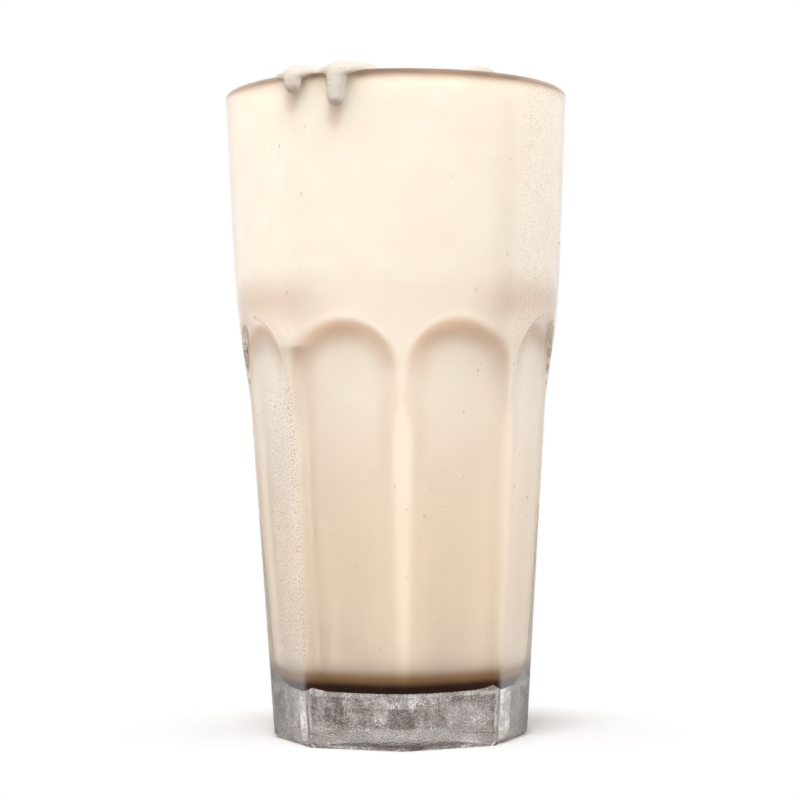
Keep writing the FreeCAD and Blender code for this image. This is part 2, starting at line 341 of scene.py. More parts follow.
@dataclass(frozen=True)
class DampShadedGlass(PressedGlass):
    """The same glass where fine condensation lies on it.

    The cold drink makes the air's moisture settle as tiny beads, which show as
    pale specks on the sides.  The solid foot, which the drink doesn't light, is
    painted a mottled mauve grey as painted shade, with the dew's grain in it.
    """

    name: str = "damp_shaded_soda_lime_glass"
    # The foot's mottled grey is painted shade; the dark specks in it are the dew's grain.
    foot_dark: str = "#A2948F"
    foot_light: str = "#FFFAF8"
    grain_mm: float = 0.42
    grain_dark: str = "#3B322F"
    grain_depth: float = 0.9
    grain_on_light: float = 0.35
    grain_range: Pair = (0.47, 0.56)
    foot_from: float = 13.8
    foot_to: float = 12.2
    blotch_mm: float = 6.0
    blotch_range: Pair = (0.38, 0.62)
    # Real beads are finer than a tenth of a millimetre; they are drawn coarser, so
    # that they still read as grain from where the whole glass is seen.
    bead_mm: float = 0.5
    bead_depth_mm: float = 0.12
    bead_range: Pair = (0.6, 0.15)
    bead_roughness: float = 0.1
    film: float = 0.7
    side_relief: float = 0.55
    rib_turn: float = 48.5
    rib_half: float = 4.6
    rib_fade: float = 1.25
    patches: tuple[DewPatch, ...] = (
        DewPatch(-56.0, 10.0, 24.0, 84.0, weight=0.6),
        DewPatch(62.0, 14.0, 98.0, 156.0, weight=0.4),
    )
    # Gaps in the foot's painted shade, left clear so that the light comes straight through: the
    # line under the drink, the patch below its middle, the line over the heel, and two at the
    # right.
    shade_gaps: tuple[DewPatch, ...] = (
        DewPatch(0.0, 41.0, 12.7, 13.2, soft_degrees=3.0, soft_mm=0.25, weight=0.8),
        DewPatch(1.0, 14.0, 10.4, 12.2, soft_degrees=9.0, soft_mm=0.5),
        DewPatch(0.0, 42.0, 1.4, 4.8, soft_degrees=2.0, soft_mm=0.8, weight=0.6),
        DewPatch(31.0, 9.0, 5.0, 10.0, soft_degrees=4.0, soft_mm=1.2, weight=0.5),
        DewPatch(64.0, 9.0, 2.0, 12.0, soft_degrees=3.0, soft_mm=1.5, weight=0.9),
    )

    def holds(self, degrees: float, z: float) -> bool:
        """Whether a point at an angle and a height (mm) is damp at all."""
        return z < self.foot_from or any(
            patch.holds(degrees, z) for patch in self.patches)

    def make(self) -> bpy.types.Material:
        """Build the material.

        Returns:
            The finished material.
        """
        material, tree = new_material(self.name)
        coords = add_node(tree, "ShaderNodeTexCoord")
        place = coords.outputs["Object"]
        clear, waved = self.base(tree, place)
        parts = add_node(tree, "ShaderNodeSeparateXYZ", None, {"Vector": place})
        height = parts.outputs["Z"]
        ahead = calc(tree, "MULTIPLY", parts.outputs["Y"], -1.0)
        angle = calc(tree, "ARCTAN2", parts.outputs["X"], ahead)
        foot = fade(tree, height, self.foot_from * MM, self.foot_to * MM)
        side = thickest(tree, self.patches, angle, height)
        shade_gaps = thickest(tree, self.shade_gaps, angle, height)
        beads = add_node(tree, "ShaderNodeTexVoronoi", {"Scale": 1 / (self.bead_mm * MM)},
                         {"Vector": place})
        bead = fade(tree, beads.outputs["Distance"], *self.bead_range)
        blotches = add_node(tree, "ShaderNodeTexNoise", {
            "Scale": 1 / (self.blotch_mm * MM), "Detail": 4.0, "Roughness": 0.7,
        }, {"Vector": place})
        blotch = fade(tree, blotches.outputs["Fac"], *self.blotch_range)
        # The ribs at the foot's corners are left clear of the painted shade.
        from_rib = calc(tree, "SUBTRACT", calc(tree, "ABSOLUTE", angle),
                        math.radians(self.rib_turn))
        from_rib = calc(tree, "ABSOLUTE", from_rib)
        rib = fade(tree, from_rib, math.radians(self.rib_half * self.rib_fade),
                   math.radians(self.rib_half))
        grain = add_node(tree, "ShaderNodeTexNoise", {"Scale": 1 / (self.grain_mm * MM)},
                         {"Vector": place})
        dense = fade(tree, blotch, 0.0, 1.0, self.grain_depth,
                     self.grain_depth * self.grain_on_light)
        speck = calc(tree, "MULTIPLY", fade(tree, grain.outputs["Fac"], *self.grain_range), dense)
        # Painted shade on the foot: a mottled grey, with the dew's dark grain.
        grey = blend(tree, blotch, self.foot_dark, self.foot_light)
        grey = blend(tree, speck, grey, self.grain_dark)
        left_clear = calc(tree, "MAXIMUM", shade_gaps, rib)
        grey = blend(tree, left_clear, grey, self.body)
        rough = calc(tree, "MULTIPLY", foot, fade(tree, left_clear, 0.0, 1.0, 1.0, 0.0))
        colour = blend(tree, foot, clear, grey)
        dewed = add_node(tree, "ShaderNodeBump", {"Distance": self.bead_depth_mm * MM}, {
            "Height": bead, "Normal": waved,
            "Strength": calc(tree, "MAXIMUM", rough,
                             calc(tree, "MULTIPLY", side, self.side_relief)),
        })
        film = calc(tree, "MULTIPLY", calc(tree, "MULTIPLY", side, bead), self.film)
        shader = add_node(tree, "ShaderNodeBsdfPrincipled", {"IOR": self.ior}, {
            "Base Color": colour,
            "Roughness": calc(tree, "MULTIPLY", rough, self.bead_roughness),
            "Transmission Weight": fade(tree, film, 0.0, 1.0, 1.0, 0.0),
            "Normal": dewed.outputs["Normal"],
        })
        self.finish(tree, shader)
        return material


@dataclass(frozen=True)
class VanillaCream:
    """Vanilla milkshake: blended ice cream and milk, whipped full of fine air.

    It is a thick white emulsion with a little egg and vanilla colour.  Through
    the wall it looks soft and even; open to the air it has a wet shine.  Its colour
    holds painted shade: darker towards the bottom, brown where it lies on the floor
    of the glass and little light reaches it, and darker where it lies open to the
    air and the light is stronger, than behind the wall where less light reaches it.
    """

    name: str = "vanilla_milkshake"
    body: str = "#FDF8EF"
    mottle: str = "#FCF5EA"
    # Painted shade: the cream is painted darker and warmer towards the bottom.
    low_body: str = "#F8EEDE"
    # Painted shade: the open cream is painted darker than the cream behind the wall, as it gets
    # more light.
    open_body: str = "#F4E9DC"
    # Painted shade: brown, then deep brown, where the cream lies on the floor of the glass.
    shade: str = "#CDA880"
    deepest: str = "#744A38"
    low_from: float = 92.0
    low_to: float = 40.0
    ior: float = 1.38
    wet_roughness: float = 0.28
    bare_specular: float = 0.5
    mottle_mm: float = 9.0
    mottle_range: Pair = (0.35, 0.65)
    swirl_mm: float = 11.0
    swirl_depth_mm: float = 1.2
    swirl_twist: float = 1.2
    bubble_mm: float = 1.3
    bubble_depth_mm: float = 0.1
    bubble_range: Pair = (0.1, 0.32)
    # Past this radius or over this height the cream lies open to the air.
    open_radius: Pair = (40.7, 41.3)
    open_z: Pair = (158.6, 159.2)
    shade_from: float = 19.4
    shade_to: float = 16.4
    deepest_to: float = 14.3

    def make(self) -> bpy.types.Material:
        """Build the material.

        Returns:
            The finished material.
        """
        material, tree = new_material(self.name)
        coords = add_node(tree, "ShaderNodeTexCoord")
        place = coords.outputs["Object"]
        parts = add_node(tree, "ShaderNodeSeparateXYZ", None, {"Vector": place})
        height = parts.outputs["Z"]
        flat = add_node(tree, "ShaderNodeCombineXYZ", None, {
            "X": parts.outputs["X"], "Y": parts.outputs["Y"],
        })
        radius = add_node(tree, "ShaderNodeVectorMath", {"operation": "LENGTH"},
                          {0: flat.outputs["Vector"]})
        over = fade(tree, radius.outputs["Value"], *(r * MM for r in self.open_radius))
        above = fade(tree, height, *(z * MM for z in self.open_z))
        bare = calc(tree, "MAXIMUM", over, above)
        mottle = add_node(tree, "ShaderNodeTexNoise", {
            "Scale": 1 / (self.mottle_mm * MM), "Detail": 3.0,
        }, {"Vector": place})
        patchy = fade(tree, mottle.outputs["Fac"], *self.mottle_range)
        colour = blend(tree, patchy, self.body, self.mottle)
        # Painted shade: darker towards the bottom, and brown on the floor of the glass.
        colour = blend(tree, fade(tree, height, self.low_from * MM, self.low_to * MM),
                       colour, self.low_body)
        colour = blend(tree, fade(tree, height, self.shade_from * MM, self.shade_to * MM),
                       colour, self.shade)
        colour = blend(tree, fade(tree, height, self.shade_to * MM, self.deepest_to * MM),
                       colour, self.deepest)
        # Painted shade on the open cream, painted darker than the cream behind the wall.
        colour = blend(tree, bare, colour, self.open_body)
        swirl = add_node(tree, "ShaderNodeTexNoise", {
            "Scale": 1 / (self.swirl_mm * MM), "Detail": 1.0,
            "Distortion": self.swirl_twist,
        }, {"Vector": place})
        folded = add_node(tree, "ShaderNodeBump", {"Distance": self.swirl_depth_mm * MM}, {
            "Height": swirl.outputs["Fac"], "Strength": bare,
        })
        bubbles = add_node(tree, "ShaderNodeTexVoronoi", {"Scale": 1 / (self.bubble_mm * MM)},
                           {"Vector": place})
        pit = fade(tree, bubbles.outputs["Distance"], *self.bubble_range)
        relief = add_node(tree, "ShaderNodeBump", {"Distance": self.bubble_depth_mm * MM}, {
            "Height": pit, "Strength": bare, "Normal": folded.outputs["Normal"],
        })
        shader = add_node(tree, "ShaderNodeBsdfPrincipled", {
            "Roughness": self.wet_roughness, "IOR": self.ior,
        }, {
            "Base Color": colour, "Normal": relief.outputs["Normal"],
            "Specular IOR Level": calc(tree, "MULTIPLY", bare, self.bare_specular),
        })
        add_node(tree, "ShaderNodeOutputMaterial", None, {"Surface": shader.outputs["BSDF"]})
        return material


@dataclass(frozen=True)
class StudioPaper:
    """Seamless white background paper, matt, that keeps the glass's shadow.

    Round the glass it is plain lit paper; further out it glows at the white of
    the surroundings, as a sweep lit from behind does.  What the glass mirrors
    of it from the dark half of the studio is dark.
    """

    name: str = "seamless_paper"
    body: str = "#F4F4F4"
    bounce: str = "#8F837A"
    fibre_mm: float = 1.6
    fibre_depth_mm: float = 0.05
    fibre_strength: float = 0.1
    # Painted light: for rays through the glass the paper under the foot glows, for the light
    # that the thick foot gathers and sends down to it.
    under_glow: float = 0.75
    glow_from: float = 0.04
    glow_to: float = 0.08

    def make(self, front: "FrontShade") -> bpy.types.Material:
        """Build the material.

        Args:
            front: how the dark half of the studio fades into the white one.

        Returns:
            The finished material.
        """
        material, tree = new_material(self.name)
        coords = add_node(tree, "ShaderNodeTexCoord")
        path = add_node(tree, "ShaderNodeLightPath")
        first = calc(tree, "LESS_THAN", path.outputs["Diffuse Depth"], HALF)
        fibre = add_node(tree, "ShaderNodeTexNoise", {
            "Scale": 1 / (self.fibre_mm * MM), "Detail": 2.0,
        }, {"Vector": coords.outputs["Object"]})
        relief = add_node(tree, "ShaderNodeBump", {
            "Strength": self.fibre_strength, "Distance": self.fibre_depth_mm * MM,
        }, {"Height": fibre.outputs["Fac"]})
        lit = add_node(tree, "ShaderNodeBsdfDiffuse", {"Roughness": 1.0}, {
            "Color": blend(tree, first, self.bounce, self.body),
            "Normal": relief.outputs["Normal"],
        })
        out = add_node(tree, "ShaderNodeVectorMath", {"operation": "LENGTH"},
                       {0: coords.outputs["Object"]})
        toward = add_node(tree, "ShaderNodeVectorMath", {"operation": "NORMALIZE"},
                          {0: coords.outputs["Object"]})
        shade = front.add(tree, toward.outputs["Vector"])
        seen = calc(tree, "MAXIMUM", path.outputs["Is Camera Ray"], shade)
        glow = add_node(tree, "ShaderNodeEmission", None, {"Strength": seen})
        far = fade(tree, out.outputs["Value"], self.glow_from, self.glow_to)
        # Painted light: the glow under the foot, for rays through the glass.
        under = calc(tree, "MULTIPLY", path.outputs["Is Transmission Ray"], self.under_glow)
        share = calc(tree, "MULTIPLY", calc(tree, "MAXIMUM", far, under), first)
        both = add_node(tree, "ShaderNodeMixShader", None, {
            0: share, 1: lit.outputs["BSDF"], 2: glow.outputs["Emission"],
        })
        add_node(tree, "ShaderNodeOutputMaterial", None, {"Surface": both.outputs["Shader"]})
        return material


@dataclass(frozen=True)
class FrontShade:
    """Dark half of the studio, on the viewer's side, that the glass mirrors."""

    dark: float = 0.14
    dark_to: float = -0.35
    white_from: float = 0.05

    def add(self, tree: Tree, direction: Socket) -> Socket:
        """Add the fade to a node tree.

        Args:
            tree: the node tree that gets it.
            direction: the unit vector of the direction looked in.

        Returns:
            A value that runs from `dark` in front to 1 at the sides and behind.
        """
        parts = add_node(tree, "ShaderNodeSeparateXYZ", None, {"Vector": direction})
        return fade(tree, parts.outputs["Y"], self.dark_to, self.white_from, self.dark)


# ---- the glass ----
@dataclass
class CoolerGlass:
    """Pressed cooler glass: eight arched panels under a plain round band."""

    rim_radius: float = 42.6
    lip_wall: float = 2.5
    panels: int = 8
    foot_apothem: float = 29.3
    spring_z: float = 86.0
    spring_apothem: float = 34.764
    foot_rib_round: float = 3.2
    spring_rib_round: float = 7.0
    core_top_z: float = 102.0
    heel: float = 0.9
    shoulder_z: float = 118.0
    shoulder_radius: float = 40.76
    shoulder_root_z: float = 77.0
    skin_proud: float = 0.1
    lead_slope: float = 0.14
    lead_reach: float = 9.0
    crest_reach: float = 14.0
    arch_spring_z: float = 92.5
    arch_half_width: float = 12.7
    arch_head_share: float = 0.74
    arch_corner_share: float = 0.52
    arch_draft: float = 38.0
    arch_cove: float = 4.5
    arch_flare: float = 5.0
    arch_edge_blend: float = 0.7
    floor_thickness: float = 13.0
    well_radius: float = 24.0
    well_corner: float = 10.0
    push_up: float = 2.2
    push_up_radius: float = 23.5
    push_up_flat: float = 0.75
    # Weights of the painted brown shade: in the arch coves and down the ribs, low on the panels,
    # under the shoulder, at the sides and at the lip; the drips' weight is a painted shadow under
    # their tips.
    cove_painted_shade: float = 0.8
    rib_painted_shade: float = 0.3
    panel_painted_shade: float = 0.22
    shoulder_painted_shade: float = 0.12
    side_painted_shade: float = 0.5
    lip_painted_shade: float = 0.7
    drip_painted_shadow: float = 0.45
    # Where the painted shade begins and ends: from an arch's wall outwards and inwards, up the
    # head, under the shoulder, up the panel, and round to the sides (degrees).
    painted_shade_outer: Pair = (-0.8, 1.4)
    painted_shade_inner: Pair = (1.0, 8.0)
    painted_shade_lead: float = 12.0
    head_rise: float = 6.0
    cove_top: Pair = (12.0, 6.0)
    panel_low: float = 60.0
    shoulder_middle: float = 107.0
    shoulder_reach: float = 9.0
    side_range: Pair = (24.0, 42.0)
    lip_range: Pair = (2.2, 1.4)
    drip_tips: tuple[Pair, ...] = ((-36.7, 153.6), (-21.2, 149.2))
    tip_core: float = 0.5
    tip_spread: float = 3.2
    tip_stretch: float = 0.7
    # The mesh's fineness; the upper rows are 1 mm apart.
    columns: int = 512
    push_up_steps: int = 10
    low_rows: int = 12
    fine_top_z: float = 119.0
    fine_rows: int = 84
    middle_rows: int = 6
    upper_rows: int = 16
    lip_steps: int = 18
    wall_rows: int = 12
    corner_steps: int = 12
    floor_rings: int = 5
    skin_halvings: int = 30
    arch_halvings: int = 26
    crease: float = 30.0

    def __post_init__(self) -> None:
        """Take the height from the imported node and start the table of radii."""
        low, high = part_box(Node.GLASS.value)
        self.height = (high.z - low.z) / MM
        self.known: dict[tuple[int, float], float] = {}

    def rib_radius(self, z: float) -> float:
        """Axis to the crest of a rib at height z, mm."""
        flat, rounding = self.flat_and_round(z)
        return (flat - rounding) / math.cos(math.pi / self.panels) + rounding

    def flat_and_round(self, z: float) -> Pair:
        """Axis to a flat, and a rib's rounding, at height z, mm."""
        share = z / self.spring_z
        flat = self.foot_apothem + (self.spring_apothem - self.foot_apothem) * share
        rounding = self.foot_rib_round + (self.spring_rib_round - self.foot_rib_round) * share
        return flat, rounding

    def core(self, turn: float, z: float) -> float:
        """Radius of the panelled core.

        Args:
            turn: angle from the middle of the nearest flat, radians.
            z: height, mm.

        Returns:
            The radius, mm.
        """
        flat, rounding = self.flat_and_round(z)
        half = math.pi / self.panels
        inset = max(0.0, self.heel - z)
        if flat * math.tan(abs(turn)) <= (flat - rounding) * math.tan(half):
            return (flat - inset) / math.cos(turn)
        centre = (flat - rounding) / math.cos(half)
        off = half - abs(turn)
        return centre * math.cos(off) + math.sqrt(
            max(0.0, rounding ** 2 - (centre * math.sin(off)) ** 2)) - inset

    def band_slope(self) -> float:
        """Outward slope of the plain band."""
        return (self.rim_radius - self.shoulder_radius) / (self.lip_z() - self.shoulder_z)

    def lip_z(self) -> float:
        """Height of the middle of the lip's half circle, mm."""
        return self.height - self.lip_wall / 2

    def skin(self, z: float) -> float:
        """Radius of the round shoulder and band at height z, before the arches, mm."""
        if z >= self.shoulder_z:
            return self.shoulder_radius + self.band_slope() * (z - self.shoulder_z)
        spring = self.rib_radius(self.spring_z) + self.skin_proud
        if z <= self.spring_z:
            return spring + self.lead_slope * (z - self.spring_z)
        poles = (
            (spring, self.spring_z),
            (spring + self.lead_slope * self.lead_reach, self.spring_z + self.lead_reach),
            (self.shoulder_radius - self.band_slope() * self.crest_reach,
             self.shoulder_z - self.crest_reach),
            (self.shoulder_radius, self.shoulder_z),
        )

        def at(t: float, axis: int) -> float:
            """One coordinate of the shoulder's curve, `t` of the way along it."""
            s = 1 - t
            weights = (s ** 3, 3 * s * s * t, 3 * s * t * t, t ** 3)
            return sum(w * pole[axis] for w, pole in zip(weights, poles))

        low, high = 0.0, 1.0
        for _ in range(self.skin_halvings):
            middle = (low + high) / 2
            low, high = (middle, high) if at(middle, 1) < z else (low, middle)
        return at(low, 0)

    def from_arch(self, across: float, along: float) -> float:
        """Distance of a point of the flat outside the foot of the arch's wall.

        Args:
            across: how far the point lies beside the panel's middle, mm.
            along: how far it lies up the flat from where the head starts, mm.

        Returns:
            The distance, mm; negative inside the arch.
        """
        head = self.arch_half_width * self.arch_head_share
        corner = self.arch_half_width * self.arch_corner_share
        side = self.arch_half_width - corner
        crown = (side ** 2 + head ** 2 - corner ** 2) / (head - corner) / 2
        drop = crown - head
        if (along + drop) * side > across * drop:
            return math.hypot(across, along + drop) - crown
        flare = math.radians(self.arch_flare)
        beside = across - side
        if beside * math.sin(flare) > along * math.cos(flare):
            return beside * math.cos(flare) + along * math.sin(flare) - corner
        return math.hypot(beside, along) - corner

    def arch_depth(self, radius: float, turn: float, z: float) -> float:
        """How far a point lies outside the surface that cuts the arch, mm."""
        lean = math.atan2(self.spring_apothem - self.foot_apothem, self.spring_z)
        out = radius * math.cos(turn) - self.spring_apothem
        out -= (self.arch_spring_z - self.spring_z) * math.tan(lean)
        rise = z - self.arch_spring_z
        along = out * math.sin(lean) + rise * math.cos(lean)
        height = out * math.cos(lean) - rise * math.sin(lean)
        away = self.from_arch(abs(radius * math.sin(turn)), along)
        steep = math.radians(90 - self.arch_draft)
        past = away + self.arch_cove * math.tan(steep / 2)
        if past <= 0:
            return height
        if past < self.arch_cove * math.sin(steep):
            return height - self.arch_cove + math.sqrt(self.arch_cove ** 2 - past ** 2)
        top = self.arch_cove * (1 - math.cos(steep))
        return height - top - (past - self.arch_cove * math.sin(steep)) * math.tan(steep)

    def outside(self, turn: float, z: float) -> float:
        """Radius of the outside of the glass.

        Args:
            turn: angle from the middle of the nearest flat, radians.
            z: height, mm.

        Returns:
            The radius, mm.
        """
        if z < self.shoulder_root_z:
            return self.core(turn, z)
        skin = self.skin(z)
        low, high = self.foot_apothem, skin + 2 * self.arch_edge_blend
        if self.arch_depth(high, turn, z) < 0:
            band = skin
        else:
            for _ in range(self.arch_halvings):
                middle = (low + high) / 2
                inside = self.arch_depth(middle, turn, z) < 0
                low, high = (middle, high) if inside else (low, middle)
            near = max(0.0, self.arch_edge_blend - abs(low - skin)) / self.arch_edge_blend
            band = min(low, skin) - near ** 2 * self.arch_edge_blend / 4
        return band if z > self.core_top_z else max(band, self.core(turn, z))

    def outside_at(self, degrees: float, z: float) -> float:
        """Radius of the outside at an angle from the front and a height, mm."""
        step = 360.0 / self.panels
        turn = (degrees % step) - step / 2
        # The table's steps are a thousandth of a degree and of a millimetre.
        key = (round(abs(turn) * 1000), round(z, 3))
        if key not in self.known:
            self.known[key] = self.outside(abs(math.radians(turn)), z)
        return self.known[key]

    def painted_shade(self, degrees: float, z: float) -> float:
        """How much painted brown shade lies at a point of the outside, from 0 to 1.

        Args:
            degrees: angle from the front.
            z: height, mm.

        Returns:
            The share of the painted brown shade.
        """
        step = 360.0 / self.panels
        turn = abs(math.radians((degrees % step) - step / 2))
        radius = self.outside_at(degrees, z)
        across = radius * math.sin(turn)
        flat, rounding = self.flat_and_round(min(z, self.spring_z))
        beside = across - (flat - rounding) * math.tan(math.pi / self.panels)
        arch = self.from_arch(across, z - self.arch_spring_z)
        up = between(z, self.spring_z - self.painted_shade_lead, self.spring_z)
        away = beside * (1 - up) + arch * up
        # Painted shade in the arch coves and down the ribs, low on the panels, under the shoulder,
        # at the sides and at the lip.
        outer = 1 - between(away, *self.painted_shade_outer)
        cove = min(outer, 1 - between(-away, *self.painted_shade_inner))
        head = between(z, self.spring_z, self.arch_spring_z + self.head_rise)
        cove *= self.rib_painted_shade + (self.cove_painted_shade - self.rib_painted_shade) * head
        cove *= 1 - between(z, *(self.shoulder_z - under for under in self.cove_top))
        panel = self.panel_painted_shade * outer * (1 - between(z, self.panel_low, self.arch_spring_z))
        sideways = abs((degrees + 180) % 360 - 180)
        sideways = min(sideways, 180 - sideways)
        near = 1 - between(abs(z - self.shoulder_middle), 0.0, self.shoulder_reach)
        at_side = between(sideways, *self.side_range)
        shoulder = near * (self.shoulder_painted_shade
                           + (self.side_painted_shade - self.shoulder_painted_shade) * at_side)
        rim = self.lip_painted_shade * between(z, *(self.height - under for under in self.lip_range))
        # Painted shadow under each drip tip.
        tips = 0.0
        for tip_degrees, tip_z in self.drip_tips:
            off = math.hypot(math.radians(degrees - tip_degrees) * radius,
                             (z - tip_z) * self.tip_stretch)
            share = 1 - between(off, self.tip_core, self.tip_spread)
            tips = max(tips, self.drip_painted_shadow * share)
        return max(cove, panel, shoulder, rim, tips)

    def outline(self) -> list[tuple[float, float, bool]]:
        """Half section of the glass, from the middle of the push-up round to the floor.

        Returns:
            Radius and height in mm, and whether the point belongs to the outside
            that the panels and arches shape.
        """
        points = []
        flat_end = self.push_up_radius * self.push_up_flat
        for i in range(self.push_up_steps + 1):
            t = i / self.push_up_steps
            points.append((2 * t * (1 - t) * flat_end + t * t * self.push_up_radius,
                           self.push_up * (1 - t * t), False))
        heights = [0.0, self.heel / 2, self.heel]
        rise = self.shoulder_root_z - self.heel
        heights += [self.heel + rise * i / self.low_rows for i in range(1, self.low_rows + 1)]
        fine = (self.fine_top_z - self.shoulder_root_z) / self.fine_rows
        heights += [self.shoulder_root_z + fine * i for i in range(1, self.fine_rows + 1)]
        upper = self.lip_z() - self.upper_rows
        rise = upper - self.fine_top_z
        heights += [self.fine_top_z + rise * i / self.middle_rows
                    for i in range(1, self.middle_rows)]
        heights += [upper + i for i in range(self.upper_rows)]
        points += [(self.rim_radius, z, True) for z in heights]
        bend = self.lip_wall / 2
        for i in range(self.lip_steps + 1):
            a = math.pi * i / self.lip_steps
            points.append((self.rim_radius - bend + bend * math.cos(a),
                           self.lip_z() + bend * math.sin(a), False))
        points += [(r, z, False) for r, z in self.well()[1:]]
        return points

    def well(self) -> list[Pair]:
        """Inside of the glass from the lip down to the middle of the floor, mm."""
        top = Vector((self.rim_radius - self.lip_wall, self.lip_z()))
        foot = Vector((self.well_radius, self.floor_thickness))
        up = (top - foot).normalized()
        turn = math.atan2(up.y, up.x)
        reach = self.well_corner * math.tan(turn / 2)
        wall_end = foot + up * reach
        points = [tuple(top.lerp(wall_end, i / self.wall_rows)) for i in range(self.wall_rows)]
        middle = Vector((self.well_radius - reach, self.floor_thickness + self.well_corner))
        for i in range(self.corner_steps + 1):
            a = turn * (1 - i / self.corner_steps)
            points.append((middle.x + self.well_corner * math.sin(a),
                           middle.y - self.well_corner * math.cos(a)))
        points += [((self.well_radius - reach) * (1 - i / self.floor_rings),
                    self.floor_thickness) for i in range(1, self.floor_rings + 1)]
        return points

    def build(self) -> bpy.types.Object:
        """Spin the half section and shape the outside to its panels and arches.

        Returns:
            The glass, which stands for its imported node.
        """
        bm = bmesh.new()
        shaped = bm.verts.layers.int.new("shaped")
        previous = None
        for radius, z, outer in self.outline():
            vertex = bm.verts.new((radius * MM, 0, z * MM))
            vertex[shaped] = int(outer)
            if previous:
                bm.edges.new((previous, vertex))
            previous = vertex
        sector = 2 * math.pi / self.panels
        bmesh.ops.spin(
            bm, geom=bm.verts[:] + bm.edges[:], cent=(0, 0, 0), axis=(0, 0, 1),
            angle=sector, steps=self.columns // self.panels, use_merge=False,
        )
        bmesh.ops.remove_doubles(bm, verts=bm.verts, dist=WELD)
        filled = 1
        while filled < self.panels:
            copy = bmesh.ops.duplicate(bm, geom=bm.verts[:] + bm.edges[:] + bm.faces[:])
            copied = [item for item in copy["geom"] if isinstance(item, bmesh.types.BMVert)]
            turn = Matrix.Rotation(sector * filled, 3, "Z")
            bmesh.ops.rotate(bm, verts=copied, cent=(0, 0, 0), matrix=turn)
            filled *= 2
        bmesh.ops.remove_doubles(bm, verts=bm.verts, dist=WELD)
        for vertex in bm.verts:
            if vertex[shaped]:
                degrees = bearing(vertex.co)
                z = vertex.co.z / MM
                vertex.co = polar(self.outside_at(degrees, z), degrees, z)
        # Painted shade: each vertex of the outside and the lip gets its share of painted brown
        # shade.
        painted_shade = bm.verts.layers.float.new(PAINTED_SHADE)
        for vertex in bm.verts:
            z = vertex.co.z / MM
            if vertex[shaped] or z > self.lip_z():
                degrees = bearing(vertex.co)
                vertex[painted_shade] = self.painted_shade(degrees, z)
        damp = DampShadedGlass()
        for face in bm.faces:
            middle = face.calc_center_median()
            if damp.holds(bearing(middle), middle.z / MM):
                face.material_index = 1
        bm.verts.layers.int.remove(bm.verts.layers.int["shaped"])
        bmesh.ops.recalc_face_normals(bm, faces=bm.faces)
        limit = math.radians(self.crease)
        for edge in bm.edges:
            edge.smooth = edge.calc_face_angle(0.0) < limit
        piece = new_object("glass_body", bm)
        piece.data.materials.append(PressedGlass().make())
        piece.data.materials.append(damp.make())
        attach(piece, "root")
        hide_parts(Node.GLASS.value)
        return piece


# ---- the milkshake ----
@dataclass
class Milkshake:
    """The drink: the fill, its crown above the rim, and the run over the lip."""

    bite: float = 0.15
    contact: float = 0.06
    crease: float = 50.0

    def build(self, glass: bpy.types.Object) -> bpy.types.Object:
        """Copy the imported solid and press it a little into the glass.

        Args:
            glass: the finished glass, which the drink touches all over.

        Returns:
            The drink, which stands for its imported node.
        """
        bm = bmesh.new()
        bm.from_mesh(frame["nodes"][Node.MILKSHAKE.value].data)
        bmesh.ops.remove_doubles(bm, verts=bm.verts, dist=CAD_WELD)
        bmesh.ops.recalc_face_normals(bm, faces=bm.faces)
        wall = bmesh.new()
        wall.from_mesh(glass.data)
        tree = BVHTree.FromBMesh(wall)
        moved = 0
        for vertex in bm.verts:
            near, normal, _, distance = tree.find_nearest(vertex.co)
            if distance < self.contact * MM:
                vertex.co = near - normal * self.bite * MM
                moved += 1
        wall.free()
        LOG.info("milkshake: %d of %d vertices touch the glass", moved, len(bm.verts))
        for edge in bm.edges:
            edge.smooth = edge.calc_face_angle(0.0) < math.radians(self.crease)
        piece = new_object("milkshake_body", bm)
        piece.data.materials.append(VanillaCream().make())
        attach(piece, "root")
        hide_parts(Node.MILKSHAKE.value)
        return piece


# ---- the condensation ----
@dataclass(frozen=True)
class WaterBead:
    """Condensed water: clear, glossy and slightly uneven from the dust it gathers."""

    name: str = "condensed_water"
    body: str = "#FFFFFF"
    ior: float = 1.33
    ripple_mm: float = 0.4
    ripple_depth_mm: float = 0.02
    ripple_strength: float = 0.3

    def make(self) -> bpy.types.Material:
        """Build the material.

        Returns:
            The finished material.
        """
        material, tree = new_material(self.name)
        coords = add_node(tree, "ShaderNodeTexCoord")
        ripple = add_node(tree, "ShaderNodeTexNoise", {"Scale": 1 / (self.ripple_mm * MM)},
                          {"Vector": coords.outputs["Object"]})
        uneven = add_node(tree, "ShaderNodeBump", {
            "Strength": self.ripple_strength, "Distance": self.ripple_depth_mm * MM,
        }, {"Height": ripple.outputs["Fac"]})
        shader = add_node(tree, "ShaderNodeBsdfPrincipled", {
            "Base Color": to_linear(self.body), "Roughness": 0.0, "IOR": self.ior,
            "Transmission Weight": 1.0,
        }, {"Normal": uneven.outputs["Normal"]})
        add_node(tree, "ShaderNodeOutputMaterial", None, {"Surface": shader.outputs["BSDF"]})
        return material


